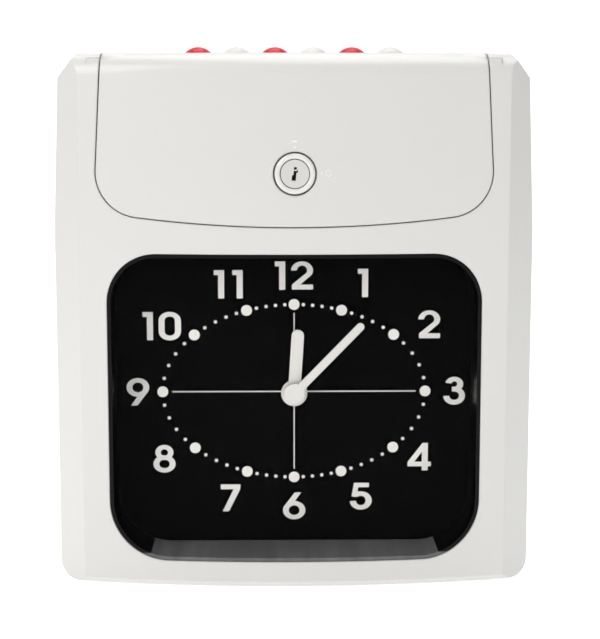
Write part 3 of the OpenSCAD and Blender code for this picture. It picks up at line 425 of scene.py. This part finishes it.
# The figures in millimetres about their own middle, 13 mm high
six_stem = [(-4.95, -0.4), (-1.2, -0.2), (0.2, 2.1), (3.3, 6.5), (0.3, 6.5)]
six = band(0, -2.1, 5.3, 4.45, 2.75, 2.1) + [six_stem]
figures = {
    "0": band(0, 2.5, 5.2, 4.2, 2.8, 2.2, 0, 180)
    + band(0, -2.5, 5.2, 4.2, 2.8, 2.2, 180, 360)
    + bar(-5.2, -2.5, -2.4, 2.5)
    + bar(2.4, -2.5, 5.2, 2.5),
    "1": bar(-0.4, -6.6, 2.4, 6.6) + bar(-2.4, 4.3, 2.4, 6.6),
    "2": band(0, 2.4, 5.1, 4.2, 2.75, 1.9, -28, 180)
    + [[(-4.7, -4.2), (-0.8, -4.2), (4.5, 0.43), (2.07, 1.32)]]
    + bar(-4.7, -6.5, 5.1, -4.2),
    "3": band(0.1, 3.25, 4.2, 3.45, 2.85, 2.15, -90, 170)
    + band(0.1, -2.3, 5.1, 4.3, 2.8, 2.3, -178, 75)
    + bar(-1, -0.3, 1.2, 1.95),
    "4": bar(1.2, -6.6, 4, 6.6)
    + bar(-5.5, -4.6, 5.5, -2.4)
    + [[(1.5, 6.6), (-5.5, -2.5), (-2.4, -2.5), (1.5, 2.8)]],
    "5": bar(-3.3, 4.4, 3.8, 6.5)
    + band(0, -2.05, 5.2, 4.45, 2.9, 2.15, -176, 130)
    + [[(-3.2, 6.5), (-4.4, 0), (-1.8, -0.4), (-1.6, 1.6), (-1.2, 4.6)]],
    "6": six,
    "7": bar(-4.6, 4.15, 4.6, 6.5) + [[(4.6, 4.3), (1.5, 4.3), (-3.8, -6.5), (-0.8, -6.5)]],
    "8": band(0, 3, 4.25, 3.65, 2.55, 2.1) + band(0, -2.5, 5.2, 4.15, 2.75, 2.1),
    "9": [[(-x, -y) for x, y in stroke] for stroke in six],
}
one_width, figure_width = 4.8, 10.4
pair_gap, ones_gap = 2.6, 3.8
oval_w, oval_h = 61.4, 41.0
minute_dot_r, hour_dot_r = 0.8, 2.55
number_places = [
    (0, 54.5), (32, 51), (63, 31.5), (75, 0), (59, -31.5), (31.5, -50.5),
    (0, -55), (-30, -51), (-61, -32), (-73, 0), (-61.5, 31), (-30.5, 50.5),
]  # fmt: skip
printed = []
for hour, (x, y) in enumerate(number_places):
    text = str(hour or 12)
    spans = [one_width if figure == "1" else figure_width for figure in text]
    gap = ones_gap if text == "11" else pair_gap
    left = x - (sum(spans) + gap * (len(text) - 1)) / 2
    for figure, span in zip(text, spans):
        middle = left + span / 2
        printed.append([[(middle + u, y + v) for u, v in stroke] for stroke in figures[figure]])
        left += span + gap
for minute in range(60):
    ray = math.radians(90 - 6 * minute)
    # Where the ray from the centre meets the oval
    reach = 1 / math.hypot(math.cos(ray) / oval_w, math.sin(ray) / oval_h)
    dot_r = minute_dot_r if minute % 5 else hour_dot_r
    printed.append(dot(reach * math.cos(ray), reach * math.sin(ray), dot_r))
hair, hair_up, hair_out = 0.25, 37, 57
printed.append(bar(-hair, -hair_up, hair, hair_up) + bar(-hair_out, -hair, hair_out, hair))


def ink_layer(name, drawings, base_y, thick):
    """Joins each drawing's overlapping strokes into one outline and raises it towards the front."""
    mesh = bmesh.new()
    for strokes in drawings:
        corners = [Vector(corner) for stroke in strokes for corner in stroke]
        faces = []
        for stroke in strokes:
            start = sum(map(len, faces))
            faces.append(list(range(start, start + len(stroke))))
        places, _, found, _, _, sources = delaunay_2d_cdt(corners, [], faces, 1, 1e-4)
        verts = [mesh.verts.new((x * MM, base_y, dial_z + y * MM)) for x, y in places]
        # A triangle that comes from no stroke lies in a figure's opening
        inked = [face for face, source in zip(found, sources) if source]
        kept = [mesh.faces.new([verts[i] for i in face]) for face in inked]
        grown = bmesh.ops.extrude_face_region(mesh, geom=kept, use_keep_orig=True)["geom"]
        raised = [part for part in grown if isinstance(part, bmesh.types.BMVert)]
        bmesh.ops.translate(mesh, verts=raised, vec=(0, -thick, 0))
    bmesh.ops.delete(mesh, geom=[v for v in mesh.verts if not v.link_faces], context="VERTS")
    return new_piece(name, mesh)


ink = Finish("dial_ink_grey", specular_ior_level=0.3)
ink.set(base_color=ink.shades(ink.noise(240, 4), (0.93, 0.91, 0.87), 0.93))
ink.set(roughness=0.45 + 0.15 * ink.noise(900, 2))
ink.relief(ink.noise(2500, 2), 0.006 * MM)
dial_print = ink_layer("dial_print", printed, dial_front + 0.02 * MM, 0.14 * MM)
ink.on(dial_print)
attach(dial_print, "root")

# ---- Hands -------------------------------------------------------------------------------------
# Both hands are stamped from sheet aluminium with round ends, painted off-white, and carried by
# the hour tube and the minute arbor of the movement.
paint = Finish("hand_paint", coat_weight=0.15)
paint.set(base_color=paint.shades(paint.noise(200, 3), (0.76, 0.745, 0.71), 0.94))
paint.set(roughness=0.38 + 0.12 * paint.noise(700, 2))
paint.relief(paint.noise(1400, 2), 0.008 * MM, edge=0.35 * MM)
paint.on("hour_hand", "minute_hand")

# ---- Clock movement ----------------------------------------------------------------------------
# Behind the dial a moulded acetal box holds the motor's copper winding and the brass wheel that
# drives the hour tube. A brass hexagon nut clamps it to the dial.


def moulded(name, colour, roughness, grain=900):
    """An engineering plastic: an even colour with slight flow marks and a fine matt grain."""
    plastic = Finish(name)
    plastic.set(base_color=plastic.shades(plastic.noise(50, 4), colour, 0.8))
    plastic.set(roughness=roughness + 0.12 * plastic.noise(300, 3))
    plastic.relief(plastic.noise(grain, 2), 0.015 * MM, edge=0.35 * MM)
    return plastic


moulded("movement_acetal", (0.72, 0.69, 0.61), 0.38).on("clock_movement")
plated("cut_brass", (0.80, 0.58, 0.24), 0.2, 0.12 * MM).on("dial_nut", "minute_wheel", "feed_pinion")
winding = Finish("copper_winding", metallic=0.85, roughness=0.3)
wires = winding.waves("Z", 900)
winding.set(base_color=winding.shades(wires, (0.72, 0.28, 0.12), 0.45))
winding.relief(wires, 0.08 * MM)
winding.on("movement_coil")

# ---- Chassis -----------------------------------------------------------------------------------
# A base plate, two side plates and the belt bracket are bent and punched from zinc-plated sheet
# steel. The rolling direction still shows as fine streaks with the pale bloom of the plating.
sheet_steel = Finish("zinc_sheet", metallic=1.0)
bloom = sheet_steel.node("ShaderNodeTexVoronoi", {}, {"Vector": sheet_steel.place, "Scale": 110.0})
sheet_steel.set(base_color=sheet_steel.shades(bloom, (0.60, 0.62, 0.64), 0.72))
streaks = sheet_steel.noise(500, 3, sheet_steel.stretched(1, 0.05, 1))
sheet_steel.set(roughness=0.3 + 0.2 * streaks)
sheet_steel.relief(streaks, 0.006 * MM, edge=0.3 * MM)
sheet_steel.on("chassis", "side_plate_left", "side_plate_right", "motor_bracket")

# ---- Card path ---------------------------------------------------------------------------------
# A dark grey throat with a flange leads the card between two grey guides, whose fine ribs are in
# the finish only. A black rubber platen stands behind the line that is printed.
moulded("throat_plastic", (0.052, 0.053, 0.055), 0.4).on("card_throat")
guide = Finish("guide_plastic")
guide.set(base_color=guide.shades(guide.noise(60, 4), (0.16, 0.165, 0.17), 0.8))
ribs = guide.waves("X", 45)
guide.set(roughness=0.36 + 0.1 * guide.noise(300, 3))
guide.relief(ribs, 0.12 * MM, edge=0.3 * MM)
guide.on("card_guide_front", "card_guide_rear")
rubber.on("platen")

# ---- Printer -----------------------------------------------------------------------------------
# The black carriage with its finned print head slides on two ground rods, pulled by a toothed belt
# from the motor's steel pulley round a white idler. The ribbon runs between two spools.
moulded("printer_plastic", (0.032, 0.032, 0.035), 0.42).on("print_carriage", "print_head", "ribbon_cartridge")
rod = Finish("ground_steel", metallic=1.0)
rod.set(base_color=rod.shades(rod.noise(90, 3), (0.74, 0.75, 0.76), 0.86))
grinding = rod.noise(1400, 2, rod.stretched(1, 0.08, 0.08))
rod.set(roughness=0.10 + 0.12 * grinding)
rod.relief(grinding, 0.003 * MM, edge=0.2 * MM)
rod.on("carriage_rods", "drive_pulley")
belt = Finish("belt_rubber", specular_ior_level=0.3)
belt.set(base_color=belt.shades(belt.noise(300, 3), (0.03, 0.03, 0.032), 0.6))
belt.set(roughness=0.6 + 0.15 * belt.noise(600))
teeth = belt.waves("X", 157)
belt.relief(teeth, 0.25 * MM, edge=0.2 * MM)
belt.on("carriage_belt")
moulded("white_acetal", (0.80, 0.79, 0.74), 0.34).on("idler_pulley", "feed_gear")
plated("motor_can", (0.46, 0.47, 0.48), 0.26, 0.5 * MM).on("carriage_motor", "feed_motor")
inked = Finish("inked_nylon", sheen_weight=0.3, specular_ior_level=0.2)
inked.set(base_color=inked.shades(inked.noise(120, 4), (0.022, 0.014, 0.075), 0.4))
inked.set(roughness=0.75 + 0.15 * inked.noise(500))
weave = inked.node("ShaderNodeTexChecker", {}, {"Vector": inked.place, "Scale": 4000.0}, 1)
inked.relief(weave, 0.03 * MM)
inked.on("ribbon", "ribbon_spool_left", "ribbon_spool_right")

# ---- Card feed ---------------------------------------------------------------------------------
# Two rollers with rubber tyres on steel shafts grip the card. The motor's brass pinion turns the
# white gear on the feed roller's shaft. The rubber is whatever lies further out than the shaft.
shaft_r = 2.6 * MM
for name in ("feed_roller", "pinch_roller"):
    low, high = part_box(name)
    centre_y, centre_z = (low.y + high.y) / 2, (low.z + high.z) / 2
    tyre = Finish(f"{name}_finish")
    out_y, out_z = tyre.axis(1) - centre_y, tyre.axis(2) - centre_z
    on_tyre = out_y * out_y + out_z * out_z > shaft_r * shaft_r
    grip = tyre.shades(tyre.noise(500, 3), (0.045, 0.045, 0.047), 0.6)
    tyre.set(base_color=tyre.blend(on_tyre, (0.66, 0.67, 0.68, 1), grip))
    tyre.set(metallic=1 - on_tyre, roughness=0.22 + 0.42 * on_tyre)
    knurl = tyre.waves("X", 260)
    tyre.relief(knurl * on_tyre, 0.05 * MM, edge=0.3 * MM)
    tyre.on(name)

# ---- Electrics ---------------------------------------------------------------------------------
# Two green circuit boards with copper tracks under the solder mask, a transformer with taped
# windings, shrink-wrapped backup cells, a black speaker and the mains inlet.
board = Finish("circuit_board", coat_weight=0.4, coat_roughness=0.15)
brick_inputs = {"Vector": board.place, "Scale": 220.0, "Mortar Size": 0.035}
tracks = board.node("ShaderNodeTexBrick", {}, brick_inputs, 1)
board.set(base_color=board.blend(tracks, (0.010, 0.105, 0.045, 1), (0.035, 0.22, 0.10, 1)))
board.set(roughness=0.3 + 0.1 * board.noise(400, 2))
board.relief(tracks, 0.05 * MM, edge=0.15 * MM)
board.on("main_board", "keypad_board")
moulded("switch_plastic", (0.028, 0.028, 0.030), 0.36).on("key_switches")
core_low, core_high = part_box("transformer")
iron = Finish("transformer_iron")
leaves = iron.waves("Y", 520)
winding_d = 5.9 * MM
in_core = iron.axis(1) > core_low.y + winding_d
in_core = in_core * (iron.axis(1) < core_high.y - winding_d)
laminate = iron.shades(leaves, (0.17, 0.17, 0.18), 0.5)
iron.set(base_color=iron.blend(in_core, (0.62, 0.47, 0.12, 1), laminate))
iron.set(metallic=0.8 * in_core, roughness=0.42 + 0.15 * iron.noise(200, 3))
iron.relief(leaves * in_core, 0.08 * MM, edge=0.4 * MM)
iron.on("transformer")
wrap = Finish("cell_wrap", coat_weight=0.5, coat_roughness=0.1)
wrap.set(base_color=wrap.shades(wrap.noise(80, 4), (0.04, 0.11, 0.46), 0.7))
wrap.set(roughness=0.25 + 0.15 * wrap.noise(160, 3))
wrap.relief(wrap.noise(220, 3), 0.12 * MM, edge=0.4 * MM)
wrap.on("backup_battery")
moulded("speaker_plastic", (0.035, 0.034, 0.033), 0.5, 400).on("speaker")

# The inlet is a black socket with two bare metal pins: what is near a pin's axis and past the floor.
inlet_low, inlet_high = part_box("power_inlet")
inlet = Finish("inlet_plastic")
pin_out, pin_r, inlet_floor = 4.3 * MM, 1.3 * MM, 2.2 * MM
pin_z = (inlet_low.z + inlet_high.z) / 2
pins = 0.0
for side in (-1, 1):
    pin_x = (inlet_low.x + inlet_high.x) / 2 + side * pin_out
    out_x, out_z = inlet.axis(0) - pin_x, inlet.axis(2) - pin_z
    pins = pins + (out_x * out_x + out_z * out_z < pin_r * pin_r)
pins = pins * (inlet.axis(1) > inlet_low.y + inlet_floor)
black = inlet.shades(inlet.noise(60, 4), (0.03, 0.03, 0.032), 0.7)
inlet.set(base_color=inlet.blend(pins, black, (0.75, 0.72, 0.62, 1)))
inlet.set(metallic=pins, roughness=0.4 - 0.2 * pins)
inlet.relief(inlet.noise(900, 2), 0.012 * MM, edge=0.3 * MM)
inlet.on("power_inlet")
